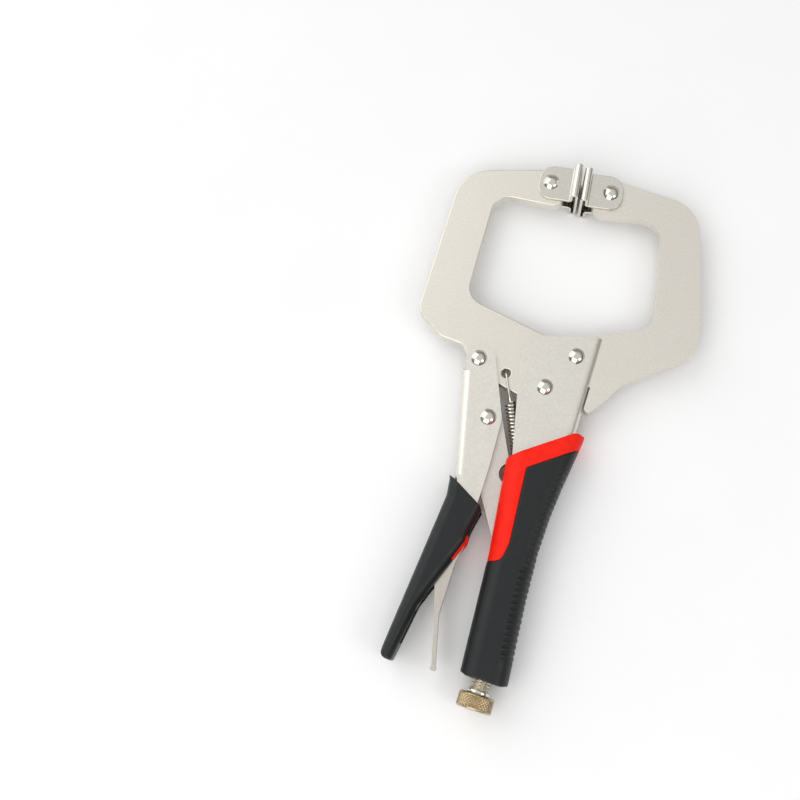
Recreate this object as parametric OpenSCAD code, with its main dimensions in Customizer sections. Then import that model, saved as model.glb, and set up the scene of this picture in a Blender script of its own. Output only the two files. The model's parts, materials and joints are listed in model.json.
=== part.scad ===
// Locking C clamp with swivel pads, drawn closed and locked.
//
// The clamp lies on its side. +Z is up and runs along every pivot, +Y runs along the
// handle from the knob to the jaws, and +X points to the fixed jaw. Places in the plan
// are measured from the moving jaw's pivot, and heights from the clamp's mid-plane.
// placed() then moves a node so that the origin is the centre of the footprint.

/* [Jaws] */
// Thickness of the two C jaws
jaw_t = 6; // [5:0.5:6]
// Radius of the pivot eye of the moving jaw
eye_r = 10; // [9:0.1:10]
// Diameter of the hole that takes the spring's upper hook
spring_hole_d = 4.5; // [3.5:0.1:5]

/* [Pressed sheet] */
// Half the inside width of both channels at the jaws
nose_in = 3.2; // [3.2:0.05:3.4]
// Sheet thickness of the handle and the lever
sheet = 2; // [1.8:0.1:2]
// Half the inside width of the handle channel where the link bears on the screw
handle_in = 6; // [5.6:0.1:6]
// Half the inside width of the lever channel round the release lever
lever_in = 4.8; // [4.8:0.1:5]
// Outside bend radius of both channels at the jaws
bend_r = 4.4; // [2:0.1:4.4]

/* [Pins] */
// Shank diameter of the three big rivets, at the jaws and the lever
rivet_d = 6; // [5:0.1:6.2]
// Shank diameter of the link, pad and release lever rivets
small_rivet_d = 5; // [4:0.1:5]
// Diameter of a domed rivet head
head_d = 8.2; // [7.6:0.1:8.6]
// Height of a domed rivet head
head_h = 2.2; // [1.6:0.1:2.4]
// Radial clearance of every pin that turns in its hole
pin_gap = 0.06; // [0.03:0.01:0.09]

/* [Adjusting screw] */
// Outside diameter of the screw thread
screw_d = 9.2; // [8.6:0.1:9.6]
// Knob diameter
knob_d = 17.2; // [16:0.2:19]
// Knob height
knob_h = 7.6; // [5:0.2:8]
// Gap between the link's heel and the tip of the screw
heel_gap = 3; // [2.9:0.1:3.2]

/* [Swivel pads] */
// Height of a pad's face
pad_h = 18.6; // [16:0.2:18.6]
// Sheet thickness of a pad
pad_sheet = 1.5; // [1.2:0.1:1.5]
// Distance from a pad's rivet to its face
pad_reach = 15.2; // [14.8:0.05:15.2]
// Angle of both pads in the plan
pad_tilt = 7; // [6:0.5:8]

/* [Return spring] */
// Outside diameter of the coil
spring_d = 6; // [5:0.1:6]
// Wire diameter
wire_d = 1.2; // [1:0.1:1.3]

/* [Grips] */
// Half the depth of the handle grip between its two flats, and the height of the mid-plane
grip_half = 11.5; // [11:0.1:11.8]
// Half the depth of the lever grip
lever_grip_half = 10.4; // [10:0.1:10.6]
// Half the width of the grip's slot over the handle's open side
slot_half = 3.5; // [3.4:0.05:4]
// Radius of the handle grip's long edges
handle_grip_r = 8.5; // [5:0.5:8.5]
// Radius of the lever grip's long edges
lever_grip_r = 5.5; // [3:0.5:5.5]

/* [Hidden] */
$fn = 64;
mid_z = grip_half;
// centre of the footprint, from the moving jaw's pivot
foot = [-4.04, -19.76];
far = 200;

// pivots
fixed_pin = [10.5, 20];
jaw_pin = [0, 0];
lever_pin = [-36, 5];
link_pin = [-22.5, -23];
moving_pad_pin = [-28.2, 108.5];
fixed_pad_pin = [3.3, 111.1];
release_pin = [-19.8, -81.6];

// closed side of the handle, from the jaws down
spine_x = 21.2;
spine_low = [17.5, -60];
spine_foot = [17, -85];
// closed side of the lever, from its top down, and where its rounded bends end
web_top = [-42.4, -2.6];
web_low = [-30, -54];
web_mid = [-28.8, -72];
web_foot = [-32.2, -108];
web_bend_end = -60;
// where the cheeks of each channel start to widen and where they are at full width
handle_flare = [-48, -62];
lever_flare = [-55, -65];
// how far neighbouring slabs of one shape reach into each other
overlap = 3;

// channel outsides
nose_out = nose_in + sheet;
handle_out = handle_in + sheet;
lever_out = lever_in + sheet;

// handle tube, neck and screw, all on one line along Y
screw_x = 12;
channel_end = -93;
tube_end = -130;
neck_end = -144;
neck_r = 6;
tube_r = handle_out - 0.1;
heel = [10, -84.5];
heel_r = 4.5;
tip_y = heel.y - heel_r - heel_gap;
knob_top = -152.2;
collar_h = 1.8;
collar_r = 5.6;
hook_hole_r = 1.5;

// flat heads of the release lever's rivet
flat_head_r = head_d / 2 - 0.4;
flat_head_h = 1;

// spring line, from the hole in the moving jaw to the hole in the handle's spine
spring_eye = [-20.7, 2];
spring_foot = [14, -74];
spring_run = spring_foot - spring_eye;
spring_turn = atan2(spring_run.y, spring_run.x);
coil_start = 15;
coil_end = 62;
foot_end = norm(spring_run);

// side outlines, as [x, y, corner radius]
moving_jaw_outline = [
    [-19.5, 119.2, 8], [-75.2, 103.2, 19], [-73.9, 21, 9], [-59, 11.5, 10],
    [-46.5, 10.4, 3], [-42, 5, 3], [-42, -1, 5], [-22, -4.7, 20],
    [-5, -8.6, 0], [0, 0, 0], [8.4, 5.3, 0], [-5.2, 27, 1],
    [-9, 27.3, 6], [-51.9, 35.4, 10], [-53.9, 94.8, 9], [-19.5, 97, 5]
];
fixed_jaw_outline = [
    [-4.9, 120.2, 8], [49.2, 116.4, 20], [69.4, 38.5, 18.5], [36.2, 13.2, 16],
    [29.2, 0.8, 20], [23.4, -7, 1.5], [spine_x + 0.3, -4.5, 1], [spine_x + 0.3, 7, 0],
    [8.1, 7, 1], [-3.9, 26, 1], [18.5, 35.2, 4], [43.7, 44.9, 11],
    [32.7, 103.4, 11.5], [-4.9, 96.6, 7]
];
handle_outline = [
    [spine_x, 33.2, 1.5], [-16, 24, 11], [-15.5, 8, 20], [-5, -40, 60], [-2, -62, 60],
    [0.5, -88, 10], [4, -97, 0], [18.6, -97, 0], [spine_foot.x, spine_foot.y, 60],
    [spine_low.x, spine_low.y, 60], [spine_x, -20, 60]
];
lever_outline = [
    [-44, 11.5, 6.4], [-29.5, 11.5, 6], [-22.3, -5.7, 20], [-15.6, -22, 12], [-14.6, -46, 30],
    [-14.6, -66, 30], [-16.4, -88, 20], [-22.8, -104, 20], [-28.4, -124, 40], [-31.4, -144.5, 0.5],
    [-35.5, -144.5, 1], [web_foot.x, web_foot.y, 60], [web_mid.x, web_mid.y, 60], [web_low.x, web_low.y, 30],
    [web_top.x, web_top.y, 0.6], [-40.4, -1.4, 0]
];
link_outline = [
    [-16.3, -19.8, 0], [14, -82.4, 0], [5.8, -86.6, 0],
    [-2.7, -80.6, 5], [-13.8, -62.2, 4], [-28.7, -26.2, 0]
];
release_cheek_outline = [
    [-14.8, -68, 2], [-14.8, -85, 10], [-16.5, -97, 10], [-16.6, -122.5, 0], [-19, -122.5, 1],
    [-23.8, -106, 12], [-25, -92, 8], [-24.8, -78, 8], [-18, -66, 1.5]
];
release_tongue_outline = [
    [-14.8, -86, 0], [-16.5, -97, 10], [-16.6, -122.5, 4], [-10.6, -146.6, 0],
    [-12.4, -147, 0], [-18.4, -122.8, 4], [-18.2, -97, 10], [-16.5, -86, 0]
];
// the red band of the handle grip: along its upper end, then down its open side
band_outline = [
    [40, 5, 0], [40, -13.5, 0], [17.1, -32.8, 2], [3.2, -43, 1.5], [6, -81, 8],
    [4.2, -91, 5], [-30, -92.6, 0], [-30, 5, 0]
];
// ends of the grips in the plan
handle_grip_ends = [
    [-40, -64, 0], [21, -19.4, 3], [60, -16, 0], [60, -130, 0], [21.5, -145.6, 2],
    [3.8, -145.6, 2], [-40, -130, 0]
];
lever_grip_ends = [
    [-60, -40, 0], [-31.8, -56.6, 3], [-13, -67.4, 3], [10, -90, 0], [10, -120, 0], [-28.6, -138, 0],
    [-30.9, -150.2, 2.2], [-37.6, -150.2, 3.6], [-36.9, -137, 0], [-60, -130, 0]
];
// edges of the grips in the plan, each with the grip on the left of its line
handle_grip_back = [[24.6, -147], [21.4, -105], [20.3, -80], [20.9, -62], [22.6, -45], [27, -12]];
handle_grip_front = [[-11, -12], [-2.4, -87], [1.2, -147]];
lever_grip_back = [[-36, -44], [-31.3, -58.5], [-30.3, -67], [-38, -151]];
lever_grip_front = [[-31.4, -151], [-27, -122], [2.6, -41]];
lever_grip_bulge = [[-16.6, -93.5], [-13.8, -80], [-13.6, -44]];

steel = [0.76, 0.75, 0.72];
bright = [0.86, 0.84, 0.8];
brassy = [0.72, 0.62, 0.42];
black = [0.09, 0.09, 0.1];
red = [0.9, 0.12, 0.08];

// ---- helpers ----

function unit(v) = v / norm(v);

function wrapped(a) = a > 180 ? a - 360 : (a < -180 ? a + 360 : a);

// arc of radius r that rounds the corner at p between its neighbours a and b
function corner(a, p, b, r) =
    let (
        u = unit(a - p),
        v = unit(b - p),
        half = acos(u * v) / 2,
        start = p + u * r / tan(half),
        end = p + v * r / tan(half),
        middle = p + unit(u + v) * r / sin(half),
        from = atan2(start.y - middle.y, start.x - middle.x),
        turn = wrapped(atan2(end.y - middle.y, end.x - middle.x) - from),
        steps = max(2, ceil(abs(turn) / 9))
    )
    [for (i = [0 : steps]) middle + r * [cos(from + turn * i / steps), sin(from + turn * i / steps)]];

// points of an outline whose corners are given as [x, y, radius]
function rounded(c) = [
    for (i = [0 : len(c) - 1])
        let (
            p = [c[i].x, c[i].y],
            before = c[(i + len(c) - 1) % len(c)],
            after = c[(i + 1) % len(c)]
        )
        each c[i].z == 0 ? [p] : corner([before.x, before.y], p, [after.x, after.y], c[i].z)
];

// moves a node from the pivot and mid-plane to the centre of the clamp's footprint
module placed() {
    translate([-foot.x, -foot.y, mid_z]) children();
}

// a plate cut to a side outline, centred on the mid-plane
module plate(outline, thickness) {
    translate([0, 0, -thickness / 2]) linear_extrude(thickness) polygon(rounded(outline));
}

// a round bar through the mid-plane, along Z
module bar(place, radius, length = far) {
    translate([place.x, place.y, -length / 2]) cylinder(r = radius, h = length);
}

// a prism along X with an outline in Y and Z
module along_x(outline) {
    translate([-far / 2, 0, 0]) rotate([90, 0, 90]) linear_extrude(far) polygon(outline);
}

// a round bar along Y between two places on the screw's line
module on_screw_line(from_y, to_y, radius, end_radius) {
    translate([screw_x, from_y, 0]) rotate([90, 0, 0])
        cylinder(r1 = radius, r2 = end_radius, h = from_y - to_y);
}

// a straight channel of half width w whose closed side is rounded and lies on x = 0
module channel_bar(w) {
    rotate([90, 0, 0]) translate([0, 0, -far / 2]) linear_extrude(far)
        polygon(rounded([[-far, -w, 0], [0, -w, bend_r], [0, w, bend_r], [-far, w, 0]]));
}

// half a dome that stands on z = 0
module dome(radius, height) {
    ball = (radius * radius + height * height) / (2 * height);
    intersection() {
        translate([0, 0, height - ball]) sphere(r = ball);
        cylinder(r = radius + 1, h = height + 1);
    }
}

// a rivet with a domed head on each side of a stack of half thickness w
module rivet(place, shank_d, w, head_radius = head_d / 2, height = head_h) {
    bar(place, shank_d / 2, 2 * w);
    for (side = [0, 1]) mirror([0, 0, side]) translate([place.x, place.y, w]) dome(head_radius, height);
}

// what lies between two values of y
module between(low, high) {
    intersection() {
        children();
        translate([-far / 2, low, -far / 2]) cube([far, high - low, far]);
    }
}

// the space on the left of a line in the plan, with rounded long edges. It is a touch deeper
// than half, so that the flats of a grip come from one plate
module soft_side(a, b, half, edge_r) {
    deep = half + 0.05;
    translate([a.x, a.y, 0]) rotate([0, 0, atan2(b.y - a.y, b.x - a.x) - 90])
        rotate([90, 0, 0]) translate([0, 0, -far]) linear_extrude(2 * far)
            polygon(rounded([[-far, -deep, 0], [0, -deep, edge_r], [0, deep, edge_r], [-far, deep, 0]]));
}

// the same along a line with slight bends, where the space has a waist
module soft_waist(line, half, edge_r) {
    for (i = [0 : len(line) - 2])
        between(min(line[i].y, line[i + 1].y) - overlap, max(line[i].y, line[i + 1].y) + overlap)
            soft_side(line[i], line[i + 1], half, edge_r);
}

// ---- handle ----

// the handle's outer shape with its hollow filled
module handle_block() {
    intersection() {
        plate(handle_outline, 2 * handle_out);
        union() {
            between(handle_flare[0] - overlap, far / 2) translate([spine_x, 0, 0]) channel_bar(nose_out);
            along_x([
                [handle_flare[0], nose_out], [handle_flare[1], handle_out], [-97, handle_out],
                [-97, -handle_out], [handle_flare[1], -handle_out], [handle_flare[0], -nose_out]
            ]);
        }
    }
    on_screw_line(channel_end, tube_end, tube_r, tube_r);
    on_screw_line(tube_end, neck_end, neck_r, neck_r);
}

// the open hollow of the handle channel, out to the side that faces the lever
module handle_hollow() {
    spine = [
        [-far, far, 0], [spine_x - sheet, far, 0], [spine_x - sheet, -20, 60],
        [spine_low.x - sheet, spine_low.y, 60], [spine_foot.x - sheet, spine_foot.y, 0],
        [spine_low.x - sheet, channel_end, 0], [-far, channel_end, 0]
    ];
    intersection() {
        plate(spine, 2 * handle_in);
        along_x([
            [far, nose_in], [handle_flare[0], nose_in], [handle_flare[1], handle_in], [channel_end, handle_in],
            [channel_end, -handle_in], [handle_flare[1], -handle_in], [handle_flare[0], -nose_in],
            [far, -nose_in]
        ]);
    }
}

module handle_body() {
    slot_start = [15, 7];
    slot_size = [10, 40];
    color(steel) placed() difference() {
        handle_block();
        handle_hollow();
        // opening of the spine that the fixed jaw comes out of
        translate([slot_start.x, slot_start.y, -nose_in]) cube([slot_size.x, slot_size.y, 2 * nose_in]);
        on_screw_line(channel_end + 1, tube_end + sheet, tube_r - sheet, tube_r - sheet);
        on_screw_line(tube_end + sheet + 1, neck_end - 1, screw_d / 2 + pin_gap, screw_d / 2 + pin_gap);
        bar(fixed_pin, rivet_d / 2);
        bar(jaw_pin, rivet_d / 2);
        // hole for the spring's lower hook
        translate([spring_foot.x, spring_foot.y, 0]) rotate([0, 90, 0]) cylinder(r = hook_hole_r, h = far);
    }
}

module fixed_jaw() {
    color(steel) placed() difference() {
        plate(fixed_jaw_outline, jaw_t);
        bar(fixed_pin, rivet_d / 2);
        bar(fixed_pad_pin, small_rivet_d / 2 + pin_gap);
    }
}

module moving_jaw() {
    color(steel) placed() difference() {
        union() {
            plate(moving_jaw_outline, jaw_t);
            bar(jaw_pin, eye_r, jaw_t);
        }
        bar(jaw_pin, rivet_d / 2 + pin_gap);
        bar(lever_pin, rivet_d / 2 + pin_gap);
        bar(moving_pad_pin, small_rivet_d / 2 + pin_gap);
        bar(spring_eye, spring_hole_d / 2);
    }
}

// ---- lever and link ----

// a straight channel along the upper part of the lever's closed side
module lever_bend(w) {
    lean = atan2(web_top.x - web_low.x, web_top.y - web_low.y);
    translate([web_low.x, web_low.y, 0]) rotate([0, 0, -lean]) mirror([1, 0, 0]) channel_bar(w);
}

// the lever's outer shape with its hollow filled: flat cheeks at the pivot, then a bent
// channel that widens. The grip covers the place where the rounded bends end
module lever_block() {
    inner_edge = 0.2;
    intersection() {
        plate(lever_outline, 2 * lever_out);
        union() {
            between(web_top.y, far / 2) translate([-far / 2, -far / 2, -nose_out]) cube([far, far, 2 * nose_out]);
            between(lever_flare[0] - 2 * overlap, web_top.y + 0.5) lever_bend(nose_out);
            intersection() {
                along_x([
                    [lever_flare[0], nose_out - inner_edge], [lever_flare[1], lever_out], [-far, lever_out],
                    [-far, -lever_out], [lever_flare[1], -lever_out], [lever_flare[0], inner_edge - nose_out]
                ]);
                union() {
                    between(web_bend_end - 1, 0) lever_bend(lever_out);
                    between(-far, web_bend_end) cube(2 * far, center = true);
                }
            }
        }
    }
}

// the open hollow of the lever channel, out to the side that faces the handle
module lever_hollow(end_y) {
    flare_start = lever_flare[0] - 4;
    back = [
        [far, far, 0], [-far, far, 0], [-far, web_top.y, 0], [web_top.x + sheet, web_top.y, 0],
        [web_low.x + sheet, web_low.y, 30], [web_mid.x + sheet, web_mid.y, 60],
        [web_foot.x + sheet, web_foot.y, 60], [web_foot.x + sheet - 3.1, end_y, 0], [far, end_y, 0]
    ];
    intersection() {
        plate(back, 2 * lever_in);
        along_x([
            [far, nose_in], [flare_start, nose_in], [lever_flare[1], lever_in], [-far, lever_in],
            [-far, -lever_in], [lever_flare[1], -lever_in], [flare_start, -nose_in], [far, -nose_in]
        ]);
    }
}

module operating_lever() {
    color(steel) placed() difference() {
        lever_block();
        lever_hollow(-142.5);
        bar(lever_pin, rivet_d / 2);
        bar(link_pin, small_rivet_d / 2);
        bar(release_pin, small_rivet_d / 2);
    }
}

module toggle_link() {
    link_t = 5;
    eye = 7;
    notch = [-4, -47];
    notch_r = 5.4;
    color(steel) placed() difference() {
        union() {
            plate(link_outline, link_t);
            bar(link_pin, eye, link_t);
            bar(heel, heel_r, link_t);
        }
        bar(link_pin, small_rivet_d / 2 + pin_gap);
        bar(notch, notch_r);
    }
}

module release_lever() {
    half = 4.5;
    cheek = 1.5;
    curl_r = 1.4;
    curl = [-11.5, -147.2];
    color(steel) placed() difference() {
        union() {
            for (side = [-1, 1]) translate([0, 0, side * (half - cheek / 2)])
                plate(release_cheek_outline, cheek);
            plate(release_tongue_outline, 2 * half);
            bar(curl, curl_r, 2 * half);
        }
        bar(release_pin, small_rivet_d / 2 + pin_gap);
    }
}

// ---- screw ----

module adjusting_screw() {
    chamfer = 1.4;
    r = screw_d / 2;
    color(brassy) placed() {
        on_screw_line(tip_y, tip_y - chamfer, r - chamfer, r);
        on_screw_line(tip_y - chamfer, knob_top, r, r);
    }
}

module screw_knob() {
    chamfer = 0.8;
    r = knob_d / 2;
    low = knob_top - knob_h;
    color(brassy) placed() {
        on_screw_line(knob_top, knob_top - chamfer, r - chamfer, r);
        on_screw_line(knob_top - chamfer, low + chamfer, r, r);
        on_screw_line(low + chamfer, low, r, r - chamfer);
    }
}

module screw_collar() {
    under = 0.1;
    color(bright) placed() difference() {
        on_screw_line(knob_top + under + collar_h, knob_top + under, collar_r, collar_r);
        on_screw_line(knob_top + under + far, knob_top - far, screw_d / 2 + pin_gap, screw_d / 2 + pin_gap);
    }
}

// ---- spring ----

// a round wire along the spring's line, at a height above the mid-plane
module wire_run(from_t, to_t, height) {
    translate([spring_eye.x, spring_eye.y, 0]) rotate([0, 0, spring_turn])
        translate([from_t, 0, height]) rotate([0, 90, 0]) cylinder(d = wire_d, h = to_t - from_t);
}

module return_spring() {
    over = jaw_t / 2 + wire_d / 2 + 0.1;
    color(bright) placed() {
        // upper hook: through the hole in the jaw, then over the jaw's face
        translate([spring_eye.x, spring_eye.y, -over]) cylinder(d = wire_d, h = 2 * over);
        wire_run(0, coil_start + wire_d, over);
        // first coil, which takes the wire down from the face to the coil's rim
        translate([spring_eye.x, spring_eye.y, 0]) rotate([0, 0, spring_turn])
            translate([coil_start, -wire_d / 2, 0]) cube([wire_d, wire_d, over]);
        translate([spring_eye.x, spring_eye.y, 0]) rotate([0, 0, spring_turn])
            translate([coil_start, 0, 0]) rotate([0, 90, 0]) difference() {
                cylinder(d = spring_d, h = coil_end - coil_start);
                translate([0, 0, wire_d]) cylinder(d = spring_d - 2 * wire_d, h = far);
            }
        // last coil, which takes the wire to the middle, and the lower hook
        translate([spring_eye.x, spring_eye.y, 0]) rotate([0, 0, spring_turn])
            translate([coil_end - wire_d, -wire_d / 2, (wire_d - spring_d) / 2])
                cube([2 * wire_d, wire_d, spring_d - wire_d]);
        wire_run(coil_end, foot_end + wire_d / 3, 0);
        translate([spring_foot.x, spring_foot.y, 0]) rotate([0, 90, 0]) cylinder(d = 0.9 * wire_d, h = 3.2);
    }
}

// ---- swivel pads ----

// half of a pad's bent strip, in plan X and height Z: ear, flange, rolled edge and face
module pad_half_strip() {
    inner = jaw_t / 2 + 0.2;
    roll_r = 2.1;
    roll_z = grip_half - roll_r;
    flange_x = pad_reach - 2 * roll_r;
    bend = 0.5;
    polygon(rounded([
        [-far, inner, 0], [flange_x + pad_sheet, inner, bend + pad_sheet], [flange_x + pad_sheet, roll_z, 0],
        [flange_x, roll_z, 0], [flange_x, inner + pad_sheet, bend], [-far, inner + pad_sheet, 0]
    ]));
    translate([pad_reach - pad_sheet, 0]) square([pad_sheet, roll_z]);
    difference() {
        translate([pad_reach - roll_r, roll_z]) circle(r = roll_r);
        translate([pad_reach - roll_r, roll_z]) circle(r = roll_r - pad_sheet);
        translate([0, roll_z - far]) square([far, far]);
    }
}

// a pad whose face looks along +X, with its rivet on the Z axis
module pad() {
    ear_back = 6.3;
    above = 9.4;
    outline = [
        [pad_reach + 1, above - pad_h, 0], [pad_reach + 1, above, 0],
        [-ear_back, above, 8], [-ear_back, above - pad_h, 7]
    ];
    difference() {
        intersection() {
            plate(outline, 2 * grip_half);
            for (side = [0, 1]) mirror([0, 0, side])
                translate([0, far / 2, 0]) rotate([90, 0, 0]) linear_extrude(far) pad_half_strip();
        }
        bar([0, 0], small_rivet_d / 2);
    }
}

module moving_pad() {
    color(steel) placed() translate([moving_pad_pin.x, moving_pad_pin.y, 0]) rotate([0, 0, pad_tilt]) pad();
}

module fixed_pad() {
    color(steel) placed() translate([fixed_pad_pin.x, fixed_pad_pin.y, 0]) rotate([0, 0, pad_tilt])
        mirror([1, 0, 0]) pad();
}

// ---- rivets ----

module pad_rivet(place) {
    color(bright) placed() rivet(place, small_rivet_d, jaw_t / 2 + 0.2 + pad_sheet);
}

module release_lever_rivet() {
    color(bright) placed() {
        bar(release_pin, small_rivet_d / 2, 2 * lever_out);
        for (side = [-1, 1]) translate([0, 0, side * (lever_out + flat_head_h / 2)])
            bar(release_pin, flat_head_r, flat_head_h);
    }
}

// ---- grips ----

// the handle grip's outside: rounded along its edges and flat on both sides
module handle_grip_shape() {
    intersection() {
        plate(handle_grip_ends, 2 * grip_half);
        soft_waist(handle_grip_back, grip_half, handle_grip_r);
        soft_waist(handle_grip_front, grip_half, handle_grip_r);
    }
}

// what the handle grip leaves open: the handle and the channel's mouth
module handle_grip_room() {
    handle_block();
    translate([-far, channel_end, -slot_half]) cube([far + screw_x, far, 2 * slot_half]);
    on_screw_line(neck_end + 1, neck_end - 10, neck_r, neck_r);
}

module handle_grip() {
    color(black) placed() difference() {
        handle_grip_shape();
        handle_grip_room();
        plate(band_outline, far);
    }
}

module handle_grip_band() {
    color(red) placed() difference() {
        intersection() {
            handle_grip_shape();
            plate(band_outline, far);
        }
        handle_grip_room();
    }
}

// the lever grip's outside, with a rounded lower end
module lever_grip_shape() {
    end_r = 5;
    deep = lever_grip_half + 0.05;
    intersection() {
        plate(lever_grip_ends, 2 * lever_grip_half);
        along_x(rounded([
            [far, deep, 0], [-150.3, deep, end_r], [-150.3, -deep, end_r], [far, -deep, 0]
        ]));
        soft_waist(lever_grip_back, lever_grip_half, lever_grip_r);
        soft_waist(lever_grip_front, lever_grip_half, lever_grip_r);
        for (i = [0, 1])
            soft_side(lever_grip_bulge[i], lever_grip_bulge[i + 1], lever_grip_half, lever_grip_r);
    }
}

// what the lever grip leaves open: the lever, its hollow and a rivet
module lever_grip_room() {
    lever_block();
    lever_hollow(-141);
    bar(release_pin, flat_head_r, 2 * (lever_out + flat_head_h));
}

// the red layer between the lever and the black grip, which shows along the channel's mouth
module lever_grip_lining() {
    top = -83;
    low = -96;
    thick = 0.8;
    between(low, top)
        soft_side([web_mid.x - thick, web_mid.y], [web_foot.x - thick, web_foot.y], lever_out + thick, 1);
}

module lever_grip() {
    color(black) placed() difference() {
        lever_grip_shape();
        lever_grip_room();
        lever_grip_lining();
    }
}

module lever_grip_inlay() {
    color(red) placed() difference() {
        intersection() {
            lever_grip_shape();
            lever_grip_lining();
        }
        lever_grip_room();
    }
}

// ---- nodes ----

handle_body();
fixed_jaw();
moving_jaw();
operating_lever();
toggle_link();
release_lever();
adjusting_screw();
screw_knob();
screw_collar();
return_spring();
color(bright) placed() rivet(fixed_pin, rivet_d, nose_out);  // fixed_jaw_rivet
color(bright) placed() rivet(jaw_pin, rivet_d, nose_out);  // jaw_pivot_rivet
color(bright) placed() rivet(lever_pin, rivet_d, nose_out);  // lever_pivot_rivet
color(bright) placed() rivet(link_pin, small_rivet_d, nose_out);  // link_rivet
release_lever_rivet();
fixed_pad();
moving_pad();
pad_rivet(fixed_pad_pin);  // fixed_pad_rivet
pad_rivet(moving_pad_pin);  // moving_pad_rivet
handle_grip();
handle_grip_band();
lever_grip();
lever_grip_inlay();
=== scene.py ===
"""Locking C clamp with swivel pads, lying on its side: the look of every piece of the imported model.

Lengths are in metres, and n * MM is n millimetres. NODE_look stands for the CAD node NODE.
"""

import json
import math

import bmesh
import bpy
from mathutils import Matrix, Vector


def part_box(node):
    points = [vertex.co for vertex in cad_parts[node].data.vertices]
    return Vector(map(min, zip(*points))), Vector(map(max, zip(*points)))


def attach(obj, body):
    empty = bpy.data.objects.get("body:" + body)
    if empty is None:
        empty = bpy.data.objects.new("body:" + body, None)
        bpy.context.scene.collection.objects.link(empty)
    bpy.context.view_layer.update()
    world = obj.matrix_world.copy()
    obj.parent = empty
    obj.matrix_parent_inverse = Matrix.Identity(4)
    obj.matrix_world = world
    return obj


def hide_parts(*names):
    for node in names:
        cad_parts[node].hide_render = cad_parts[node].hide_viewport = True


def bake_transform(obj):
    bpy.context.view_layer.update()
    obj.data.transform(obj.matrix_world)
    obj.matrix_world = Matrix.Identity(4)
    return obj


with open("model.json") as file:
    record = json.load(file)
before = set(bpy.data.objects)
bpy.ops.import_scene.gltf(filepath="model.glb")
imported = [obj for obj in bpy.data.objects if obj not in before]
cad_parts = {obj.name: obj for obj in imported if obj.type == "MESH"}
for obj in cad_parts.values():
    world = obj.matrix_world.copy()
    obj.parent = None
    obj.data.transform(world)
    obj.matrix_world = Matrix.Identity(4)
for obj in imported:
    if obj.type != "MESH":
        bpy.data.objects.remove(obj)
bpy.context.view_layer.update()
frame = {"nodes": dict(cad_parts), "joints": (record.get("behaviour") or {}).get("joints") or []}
NODES = frame["nodes"]
PIVOT = {j["name"]: Vector(j["pos_m"]) for j in frame["joints"] if j["type"] == "hinge"}
MM = 0.001
FULL_TURN = 2 * math.pi
JAW_PIVOT = PIVOT["jaw_swing"]
SCREW_X = PIVOT["screw_turn"].x
MID_Z = JAW_PIVOT.z
UP = Vector((0, 0, 1))
DOWN_SCREW = Vector((0, -1, 0))


def place(x, y, z=0.0):
    """A point in the frame, from millimetres measured from the moving jaw's pivot."""
    return JAW_PIVOT + Vector((x, y, z)) * MM


def unit(x):
    """x kept between 0 and 1."""
    return min(1, max(0, x))


def between(x, low, high):
    """0 below low, 1 above high, smooth in between."""
    t = unit((x - low) / (high - low))
    return t * t * (3 - 2 * t)


# ---- materials ----

ROUGHNESS_BAND = (0.3, 0.7)  # the part of a noise's range that the roughness follows
MOTTLE_BAND = (0.35, 0.65)   # and the part that the colour follows
GRAIN_DETAIL = 2


def new_material(name, colour, metallic, roughness):
    material = bpy.data.materials.new(name)
    material.use_nodes = True
    shader = material.node_tree.nodes["Principled BSDF"]
    shader.inputs["Base Color"].default_value = (*colour, 1)
    shader.inputs["Metallic"].default_value = metallic
    shader.inputs["Roughness"].default_value = roughness
    return material, material.node_tree, shader


def noise_node(tree, scale, detail):
    """Noise in object space. The pieces sit at the origin, so a scale is in cells per metre."""
    coords = tree.nodes.new("ShaderNodeTexCoord")
    noise = tree.nodes.new("ShaderNodeTexNoise")
    noise.inputs["Scale"].default_value = scale
    noise.inputs["Detail"].default_value = detail
    tree.links.new(coords.outputs["Object"], noise.inputs["Vector"])
    return noise.outputs["Fac"]


def vary_roughness(tree, shader, value, low, high):
    node = tree.nodes.new("ShaderNodeMapRange")
    node.inputs["From Min"].default_value = ROUGHNESS_BAND[0]
    node.inputs["From Max"].default_value = ROUGHNESS_BAND[1]
    node.inputs["To Min"].default_value = low
    node.inputs["To Max"].default_value = high
    tree.links.new(value, node.inputs["Value"])
    tree.links.new(node.outputs["Result"], shader.inputs["Roughness"])


def mottle(tree, shader, colour, value, amount):
    """Base colour that varies a little, darker by amount where the value is low."""
    ramp = tree.nodes.new("ShaderNodeValToRGB")
    dark, light = ramp.color_ramp.elements
    dark.position, light.position = MOTTLE_BAND
    dark.color = (*[c * (1 - amount) for c in colour], 1)
    light.color = (*colour, 1)
    tree.links.new(value, ramp.inputs["Fac"])
    tree.links.new(ramp.outputs["Color"], shader.inputs["Base Color"])


def bump(tree, shader, height, strength, distance):
    node = tree.nodes.new("ShaderNodeBump")
    node.inputs["Strength"].default_value = strength
    node.inputs["Distance"].default_value = distance
    tree.links.new(height, node.inputs["Height"])
    tree.links.new(node.outputs["Normal"], shader.inputs["Normal"])


def satin_nickel(name, colour, rough_low, rough_high, grain):
    """Nickel plate over a blasted surface: fine grain and small speckles."""
    material, tree, shader = new_material(name, colour, 1.0, rough_low)
    vary_roughness(tree, shader, noise_node(tree, 260, 5), rough_low, rough_high)
    mottle(tree, shader, colour, noise_node(tree, 1100, 6), 0.09)
    bump(tree, shader, noise_node(tree, 2600, GRAIN_DETAIL), grain, 0.06 * MM)
    return material


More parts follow.
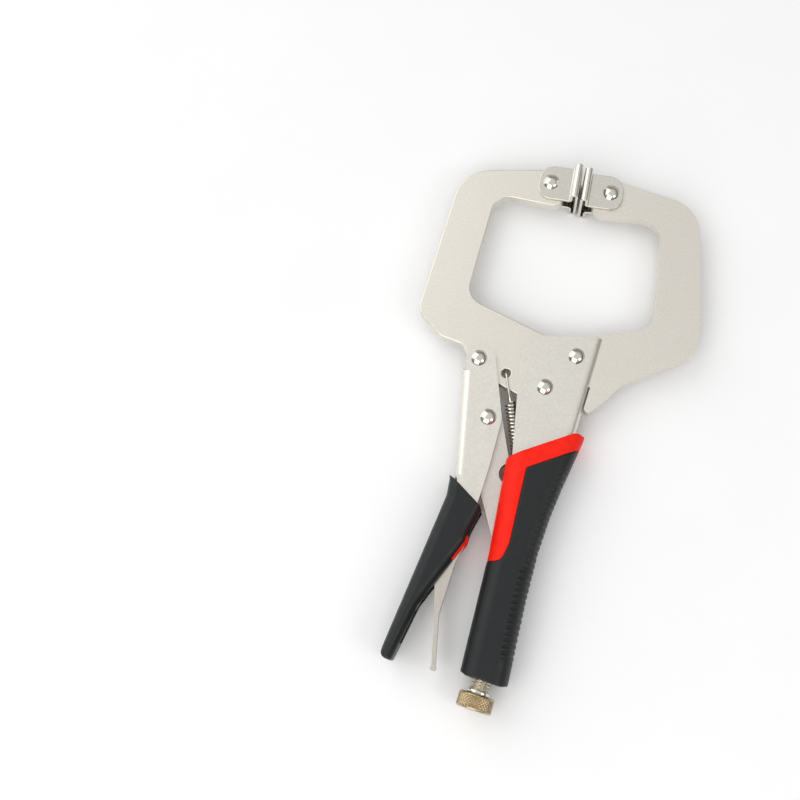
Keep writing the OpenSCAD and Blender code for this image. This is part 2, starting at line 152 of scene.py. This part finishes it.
def bright_nickel(name, colour):
    """Polished plate, with faint waves in its gloss."""
    rough_low, rough_high = 0.08, 0.2
    material, tree, shader = new_material(name, colour, 1.0, rough_low)
    vary_roughness(tree, shader, noise_node(tree, 500, 3), rough_low, rough_high)
    mottle(tree, shader, colour, noise_node(tree, 700, 3), 0.06)
    bump(tree, shader, noise_node(tree, 900, GRAIN_DETAIL), 0.08, 0.05 * MM)
    return material


def brassy_plate(name, colour, worn):
    """Yellowish plate over turned steel, darker in patches by worn."""
    rough_low, rough_high = 0.22, 0.42
    material, tree, shader = new_material(name, colour, 1.0, rough_low)
    vary_roughness(tree, shader, noise_node(tree, 700, 3), rough_low, rough_high)
    mottle(tree, shader, colour, noise_node(tree, 400, 4), worn)
    bump(tree, shader, noise_node(tree, 2200, GRAIN_DETAIL), 0.06, 0.05 * MM)
    return material


def moulded_rubber(name, colour, gloss, rough_low, rough_high):
    """Satin rubber with the fine grain of its mould."""
    material, tree, shader = new_material(name, colour, 0.0, rough_low)
    shader.inputs["Specular IOR Level"].default_value = gloss
    vary_roughness(tree, shader, noise_node(tree, 220, 4), rough_low, rough_high)
    mottle(tree, shader, colour, noise_node(tree, 300, 4), 0.12)
    bump(tree, shader, noise_node(tree, 3000, GRAIN_DETAIL), 0.15, 0.08 * MM)
    return material


PLATED_SHEET = satin_nickel("plated_sheet", (0.83, 0.80, 0.73), 0.33, 0.41, 0.22)
PLATED_JAW = satin_nickel("plated_jaw", (0.82, 0.785, 0.71), 0.38, 0.46, 0.35)
PLATED_LINK = satin_nickel("plated_link", (0.7, 0.66, 0.61), 0.42, 0.55, 0.4)
PLATED_PAD = satin_nickel("plated_pad", (0.76, 0.73, 0.66), 0.17, 0.26, 0.12)
PLATED_TONGUE = satin_nickel("plated_tongue", (0.66, 0.62, 0.55), 0.26, 0.36, 0.2)
BRIGHT = bright_nickel("bright_nickel", (0.74, 0.70, 0.63))
SCREW_PLATE = brassy_plate("screw_plate", (0.74, 0.67, 0.55), 0.08)
KNOB_PLATE = brassy_plate("knob_plate", (0.56, 0.45, 0.28), 0.16)
BLACK_RUBBER = moulded_rubber("black_rubber", (0.011, 0.012, 0.013), 0.34, 0.36, 0.48)
RED_RUBBER = moulded_rubber("red_rubber", (0.93, 0.013, 0.002), 0.2, 0.45, 0.55)


# ---- meshes and pieces ----

WELD = 0.002 * MM            # vertices closer than this are one
FLAT = math.radians(0.8)     # faces that meet at less than this are merged
BEVELLED = math.radians(28)  # edges sharper than this are rounded


def new_piece(name, mesh, material, body, node):
    """Links a piece, gives it its material and body, and lets it stand for its CAD node."""
    piece = bpy.data.objects.new(name, mesh)
    bpy.context.scene.collection.objects.link(piece)
    piece.data.materials.clear()
    piece.data.materials.append(material)
    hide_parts(node)
    if body:
        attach(piece, body)
    return piece


def edit_mesh(mesh, change):
    """Runs change(bm) on a mesh and leaves its faces' normals pointing outwards."""
    bm = bmesh.new()
    bm.from_mesh(mesh)
    change(bm)
    bmesh.ops.recalc_face_normals(bm, faces=bm.faces)
    bm.to_mesh(mesh)
    bm.free()


def cad_copy(node):
    """A copy of a CAD node's mesh with its faces joined and flat areas merged."""
    def join(bm):
        bmesh.ops.remove_doubles(bm, verts=bm.verts, dist=WELD)
        bmesh.ops.dissolve_limit(bm, angle_limit=FLAT, verts=bm.verts, edges=bm.edges)

    mesh = NODES[node].data.copy()
    mesh.name = node + "_look"
    edit_mesh(mesh, join)
    return mesh


def smooth(mesh, sharp_degrees=None):
    """Smooth shading, but for edges sharper than that angle if one is given."""
    for polygon in mesh.polygons:
        polygon.use_smooth = True
    if sharp_degrees:
        mesh.set_sharp_from_angle(angle=math.radians(sharp_degrees))


def softened(node, body, material, width, segments=3):
    """The CAD shape with its sharp edges rounded by a bevel of that width."""
    piece = new_piece(node + "_look", cad_copy(node), material, body, node)
    smooth(piece.data)
    bevel = piece.modifiers.new("bevel", "BEVEL")
    bevel.width = width
    bevel.segments = segments
    bevel.limit_method = "ANGLE"
    bevel.angle_limit = BEVELLED
    bevel.use_clamp_overlap = True
    bevel.harden_normals = True
    bevel.miter_outer = "MITER_ARC"
    normals = piece.modifiers.new("normals", "WEIGHTED_NORMAL")
    normals.keep_sharp = True


def grid_mesh(name, rings):
    """A mesh through closed rings of points, all of one length, with both ends filled."""
    count = len(rings[0])
    last = (len(rings) - 1) * count
    faces = []
    for start in range(0, last, count):
        for i in range(count):
            a, b = start + i, start + (i + 1) % count
            faces.append((a, b, b + count, a + count))
    faces.append(tuple(range(count - 1, -1, -1)))
    faces.append(tuple(range(last, last + count)))
    mesh = bpy.data.meshes.new(name)
    mesh.from_pydata([tuple(point) for ring in rings for point in ring], [], faces)
    edit_mesh(mesh, lambda bm: None)
    return mesh


def turned(name, centre, axis, profile, columns, radius_at=None):
    """A turned mesh. profile is [(distance along the axis, radius)].
    radius_at(angle, distance, radius) may change the radius, to cut a thread or a knurl."""
    first = UP if abs(axis.z) < 0.5 else Vector((1, 0, 0))
    second = axis.cross(first)
    rings = []
    for distance, radius in profile:
        ring = []
        for i in range(columns):
            angle = FULL_TURN * i / columns
            r = radius_at(angle, distance, radius) if radius_at else radius
            outwards = first * math.cos(angle) + second * math.sin(angle)
            ring.append(centre + axis * distance + outwards * r)
        rings.append(ring)
    return grid_mesh(name, rings)


# ---- rivets ----

HEAD_R = 4.1 * MM
HEAD_H = 2.2 * MM
RIM_SHARE = 0.12     # of the head's height is an upright rim under the dome
TOP_SHARE = 0.05     # of the head's radius is a flat on top of the dome
SEAT_SHARE = 0.985   # of the head's radius touches the plate
SHANK_SHARE = 0.6


def dome_profile(half):
    """From the top of a head, round its rim and down to the shank. half is half the thickness
    of the stack that the rivet holds."""
    steps = 10
    ball_r = (HEAD_R ** 2 + HEAD_H ** 2) / (2 * HEAD_H)
    rim = RIM_SHARE * HEAD_H
    points = []
    for i in range(steps + 1):
        r = HEAD_R * (TOP_SHARE + (1 - TOP_SHARE) * i / steps)
        rise = math.sqrt(ball_r ** 2 - r ** 2) - (ball_r - HEAD_H)
        points.append((half + rim + rise * (1 - RIM_SHARE), r))
    points += [(half + 0.5 * rim, HEAD_R), (half, SEAT_SHARE * HEAD_R), (half, SHANK_SHARE * HEAD_R)]
    return points


def rivet_look(node, body):
    low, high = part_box(node)
    top = dome_profile((high.z - low.z) / 2 - HEAD_H)
    profile = top + [(-z, r) for z, r in reversed(top)]
    mesh = turned(node + "_look", (low + high) / 2, UP, profile, 56)
    smooth(mesh, 40)
    new_piece(node + "_look", mesh, BRIGHT, body, node)


# ---- screw ----


def turned_size(node):
    """The top centre of a turned piece on the screw's line, its outer radius and its height."""
    low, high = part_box(node)
    return Vector((SCREW_X, high.y, MID_Z)), (high.z - low.z) / 2, high.y - low.y


def rounded_start(soft, outer, angles):
    """Profile points round the edge where a turned piece begins, by a radius of soft."""
    return [(soft * (1 - math.cos(a)), outer - soft + soft * math.sin(a)) for a in angles]


def rounded_end(soft, outer, height, angles):
    """The same round the edge where it ends."""
    return [(height - soft + soft * math.sin(a), outer - soft + soft * math.cos(a)) for a in angles]


def screw_look():
    tip, outer, length = turned_size("adjusting_screw")
    pitch = 1.5 * MM
    depth = 0.8 * MM
    steepness = 1.35     # of the groove's flanks: 1 leaves no flat on the crest
    chamfer = 1.4 * MM
    first_row = 0.2 * MM
    rows_per_pitch = 8
    rows = int(length / pitch * rows_per_pitch)

    def thread(angle, distance, radius):
        # right-hand: seen along the axis, the crest moves on as the angle grows
        turn = (distance / pitch - angle / FULL_TURN) % 1
        groove = 1 - min(1, abs(2 * turn - 1) * steepness)
        fade = unit((length - distance) / (2 * pitch))
        return radius - depth * groove * fade

    profile = [(0, outer - chamfer)]
    for i in range(1, rows + 1):
        distance = first_row + (length - first_row) * i / rows
        profile.append((distance, min(outer, outer - chamfer + distance)))
    mesh = turned("adjusting_screw_look", tip, DOWN_SCREW, profile, 56, thread)
    smooth(mesh, 50)
    new_piece("adjusting_screw_look", mesh, SCREW_PLATE, "screw", "adjusting_screw")


def knob_look():
    top, outer, height = turned_size("screw_knob")
    rim = 1.0 * MM
    fade = 0.3 * MM      # the knurl comes to its full depth over this
    dish = 0.25 * MM     # how far the middle of the outer face is sunk
    teeth = 30
    depth = 0.55 * MM
    steepness = 1.5      # of the knurl's flanks
    tooth = FULL_TURN * outer / teeth
    rows = 36
    corner = (0.4, 0.8, 1.2)

    def knurl(angle, distance, radius):
        inside = unit(min(distance - rim, height - rim - distance) / fade)
        cuts = []
        for hand in (1, -1):
            phase = (teeth * angle / FULL_TURN + hand * distance / tooth) % 1
            cuts.append(1 - min(1, abs(2 * phase - 1) * steepness))
        return radius - depth * max(cuts) * inside

    profile = [(0, 0.2 * outer), (0, outer - rim)]
    profile += rounded_start(rim, outer, corner)
    profile += [(rim + (height - 2 * rim) * i / rows, outer) for i in range(rows + 1)]
    profile += rounded_end(rim, outer, height, corner)
    profile += [(height, outer - 1.05 * rim), (height, 0.62 * outer)]
    profile += [(height - dish, 0.56 * outer), (height - dish, 0.1 * outer)]
    mesh = turned("screw_knob_look", top, DOWN_SCREW, profile, teeth * 8, knurl)
    smooth(mesh, 30)
    new_piece("screw_knob_look", mesh, KNOB_PLATE, "screw", "screw_knob")


def open_bore(bm):
    """Turns a closed turned mesh into a ring: its two end faces become one bore."""
    ends = [f for f in bm.faces if len(f.verts) > 4]
    bmesh.ops.delete(bm, geom=ends, context="FACES_ONLY")
    bmesh.ops.bridge_loops(bm, edges=[e for e in bm.edges if e.is_boundary])


def collar_look():
    top, outer, height = turned_size("screw_collar")
    bore_r = 4.66 * MM
    soft = 0.35 * MM
    profile = [(0, bore_r), (0, outer - soft)]
    profile += rounded_start(soft, outer, (0.5, 1.0, 1.57))
    profile += rounded_end(soft, outer, height, (0, 0.5, 1.0))
    profile += [(height, outer - soft), (height, bore_r)]
    mesh = turned("screw_collar_look", top, DOWN_SCREW, profile, 64)
    edit_mesh(mesh, open_bore)
    smooth(mesh, 40)
    new_piece("screw_collar_look", mesh, BRIGHT, "collar", "screw_collar")


# ---- spring ----


def tube(name, path, radius):
    """A round wire along a path of points."""
    sides = 10
    angles = [FULL_TURN * k / sides for k in range(sides)]
    rings = []
    across = None
    for i, point in enumerate(path):
        ahead = path[min(i + 1, len(path) - 1)] - path[max(i - 1, 0)]
        ahead.normalize()
        if across is None:
            across = ahead.orthogonal().normalized()
        across = (across - ahead * across.dot(ahead)).normalized()
        other = ahead.cross(across)
        rings.append([point + (across * math.cos(a) + other * math.sin(a)) * radius for a in angles])
    mesh = grid_mesh(name, rings)
    smooth(mesh, 50)
    return mesh


def spring_look():
    """A wound wire from a hole in the moving jaw, the eye, to one in the handle's spine, the foot."""
    eye, foot = place(-20.7, 2), place(14, -74)
    along = (foot - eye).normalized()
    length = (foot - eye).length
    side = UP.cross(along)
    wire_r = 0.6 * MM
    coil_r = 2.4 * MM
    coil_start, coil_end = 15 * MM, 61.4 * MM
    turns = 25
    per_turn = 18
    face = 3.7 * MM      # the hook lies this far from the jaw's middle, on both its faces
    bend = 1.3 * MM
    quarter = [math.pi / 2 * i / 5 for i in range(6)]

    def at(forward, rise, aside=0.0):
        return eye + along * forward + UP * rise + side * aside

    # the free end behind the jaw, through the hole, and over the jaw's face
    path = [at(4 * MM, -face), at(1.6 * MM, -face)]
    path += [at(bend * (1 - math.sin(a)), bend * (1 - math.cos(a)) - face) for a in quarter]
    path += [at(bend * (1 - math.cos(a)), face - bend * (1 - math.sin(a))) for a in quarter]
    path += [at(forward * MM, face) for forward in (3, 6, 9, 11.5)]
    path += [at(13.4 * MM, 3.3 * MM)]
    for i in range(turns * per_turn + 1):
        angle = FULL_TURN * i / per_turn
        forward = coil_start + (coil_end - coil_start) * i / (turns * per_turn)
        path.append(at(forward, coil_r * math.cos(angle), coil_r * math.sin(angle)))
    # back to the middle of the coil and on into the hole in the spine
    path += [at(coil_end + 1.4 * MM, 1.5 * MM), at(coil_end + 2.8 * MM, 0.3 * MM)]
    path += [at(forward, 0) for forward in (coil_end + 4.5 * MM, length - 4 * MM, length - 1.6 * MM)]
    path += [foot + Vector((out * MM, 0, 0)) for out in (0.8, 2, 3.1)]
    mesh = tube("return_spring_look", path, wire_r)
    piece = new_piece("return_spring_look", mesh, BRIGHT, None, "return_spring")
    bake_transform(piece)


# ---- grips ----

VOXEL = 0.42 * MM

# Heights (y) and the rest are in millimetres from the moving jaw's pivot.
GRIP_BACK = [(-147, 24.6), (-105, 21.4), (-80, 20.3), (-62, 20.9), (-45, 22.6), (-12, 27)]
RIB_PITCH = 3.0
RIBS_FOOT, RIBS_TOP = -133, -38
WAIST = -89                       # below it the ribs reach further over the grip's sides
REACH_BELOW, REACH_ABOVE = 6.8, 4.2
TUBE_X = 12                       # the middle of the hollow that holds the handle
TUBE_R, TUBE_HALF = 7.9, 8.3


def moulded(node, body, material, rounds, carve=None):
    """The CAD shape with every edge melted a little, as moulded rubber is.
    carve(point, normal) gives a depth to cut there."""
    piece = new_piece(node + "_look", cad_copy(node), material, None, node)
    remesh = piece.modifiers.new("remesh", "REMESH")
    remesh.mode = "VOXEL"
    remesh.voxel_size = VOXEL
    soften = piece.modifiers.new("soften", "SMOOTH")
    soften.factor = 0.5
    soften.iterations = rounds
    graph = bpy.context.evaluated_depsgraph_get()
    mesh = bpy.data.meshes.new_from_object(piece.evaluated_get(graph))
    piece.modifiers.clear()
    piece.data = mesh
    if carve:
        for vertex, normal in [(v, v.normal.copy()) for v in mesh.vertices]:
            vertex.co -= normal * carve(vertex.co, normal)
    smooth(mesh)
    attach(piece, body)


def grip_back_x(y):
    """Where the handle grip's back is at a height y."""
    for (low, low_x), (high, high_x) in zip(GRIP_BACK, GRIP_BACK[1:]):
        if y <= high:
            return low_x + (high_x - low_x) * (y - low) / (high - low)
    return GRIP_BACK[-1][1]


def grip_ribs(point, normal):
    """Depth of the transverse grooves on the back of the handle grip and a little over its sides.
    The hollow inside the grip isn't cut."""
    local = (point - JAW_PIVOT) / MM
    if not RIBS_FOOT < local.y < RIBS_TOP:
        return 0
    inwards = grip_back_x(local.y) - local.x
    reach = REACH_BELOW if local.y < WAIST else REACH_ABOVE
    near_back = 1 - between(inwards, reach - 1.0, reach)
    facing_out = between(normal.x * 0.8 + abs(normal.z), 0.3, 0.6)
    hollow = 0
    if abs(local.z) < TUBE_HALF:
        hollow = 1 - between(abs(local.x - TUBE_X) + abs(local.z) * 0.2, 0, TUBE_R)
    wave = abs((local.y / RIB_PITCH) % 1 - 0.5) * 2
    groove = 1 - between(wave, 0.32, 0.62)
    depth = (0.35 + 0.4 * abs(normal.z)) * MM
    return depth * groove * near_back * facing_out * (1 - hollow)


# ---- build ----

softened("handle_body", "handle", PLATED_SHEET, 0.7 * MM, 4)
softened("fixed_jaw", "handle", PLATED_JAW, 0.8 * MM, 4)
softened("moving_jaw", "moving_jaw", PLATED_JAW, 0.8 * MM, 4)
softened("operating_lever", "lever", PLATED_SHEET, 0.5 * MM)
softened("toggle_link", "link", PLATED_LINK, 0.35 * MM)
softened("release_lever", "release", PLATED_TONGUE, 0.3 * MM)
softened("moving_pad", "moving_pad", PLATED_PAD, 0.3 * MM)
softened("fixed_pad", "fixed_pad", PLATED_PAD, 0.3 * MM)

rivet_look("fixed_jaw_rivet", "handle")
rivet_look("jaw_pivot_rivet", "handle")
rivet_look("lever_pivot_rivet", "lever")
rivet_look("link_rivet", "lever")
rivet_look("moving_pad_rivet", "moving_pad")
rivet_look("fixed_pad_rivet", "fixed_pad")
softened("release_lever_rivet", "lever", BRIGHT, 0.3 * MM)

screw_look()
knob_look()
collar_look()
spring_look()

moulded("handle_grip", "handle", BLACK_RUBBER, 4, grip_ribs)
moulded("handle_grip_band", "handle", RED_RUBBER, 4)
moulded("lever_grip", "lever", BLACK_RUBBER, 5)
softened("lever_grip_inlay", "lever", RED_RUBBER, 0.15 * MM, 2)


# ---- stage ----


def floor():
    paper = (0.9, 0.9, 0.9)
    bpy.ops.mesh.primitive_plane_add(size=30, location=(0, 0, 0))
    plane = bpy.context.object
    plane.name = "floor"
    material, tree, shader = new_material("floor_paper", paper, 0.0, 0.6)
    mottle(tree, shader, paper, noise_node(tree, 20, 2), 0.01)
    plane.data.materials.append(material)


def softbox(name, location, size, power):
    """A square lamp that faces the origin."""
    light = bpy.data.lights.new(name, "AREA")
    light.shape = "SQUARE"
    light.size = size
    light.energy = power
    lamp = bpy.data.objects.new(name, light)
    bpy.context.scene.collection.objects.link(lamp)
    lamp.location = location
    lamp.rotation_euler = (-Vector(location)).to_track_quat("-Z", "Y").to_euler()


def studio_world():
    """A pale dome with a dark belt above the horizon, which gives rounded edges and domes contrast.
    Each stop is a height on the dome and its brightness."""
    horizon, zenith = 0.7, 0.8
    belt = ((0.07, 0.6), (0.17, 0.08), (0.85, zenith))
    world = bpy.data.worlds.new("studio")
    world.use_nodes = True
    tree = world.node_tree
    coords = tree.nodes.new("ShaderNodeTexCoord")
    split = tree.nodes.new("ShaderNodeSeparateXYZ")
    tree.links.new(coords.outputs["Generated"], split.inputs["Vector"])
    ramp = tree.nodes.new("ShaderNodeValToRGB")
    stops = ramp.color_ramp.elements
    stops[0].color = (horizon, horizon, horizon, 1)
    stops[1].color = (zenith, zenith, zenith, 1)
    for height, level in belt:
        stops.new(height).color = (level, level, level, 1)
    tree.links.new(split.outputs["Z"], ramp.inputs["Fac"])
    tree.links.new(ramp.outputs["Color"], tree.nodes["Background"].inputs["Color"])
    bpy.context.scene.world = world


def camera():
    """Looks down on the clamp from above its handle, turned so that the clamp leans."""
    data = bpy.data.cameras.new("camera")
    data.lens = 50
    data.sensor_width = 36
    data.clip_start = 10 * MM
    cam = bpy.data.objects.new("camera", data)
    bpy.context.scene.collection.objects.link(cam)
    spot = Vector((0.02234, -0.13304, 0.5545))
    ahead = Vector((-0.1531, 0.2240, -0.9625)).normalized()
    right = Vector((0.9468, 0.3123, -0.0780))
    right = (right - ahead * right.dot(ahead)).normalized()
    turn = Matrix((right, right.cross(ahead), -ahead)).transposed()
    cam.matrix_world = Matrix.Translation(spot) @ turn.to_4x4()
    bpy.context.scene.camera = cam


floor()
softbox("front", (-0.3, -1.4, 1.2), 1.8, 17)
softbox("left", (-1.45, 0.6, 1.0), 2.2, 17)
softbox("right", (1.1, -0.3, 1.0), 0.6, 3)
studio_world()
bpy.context.scene.view_settings.view_transform = "Standard"
camera()
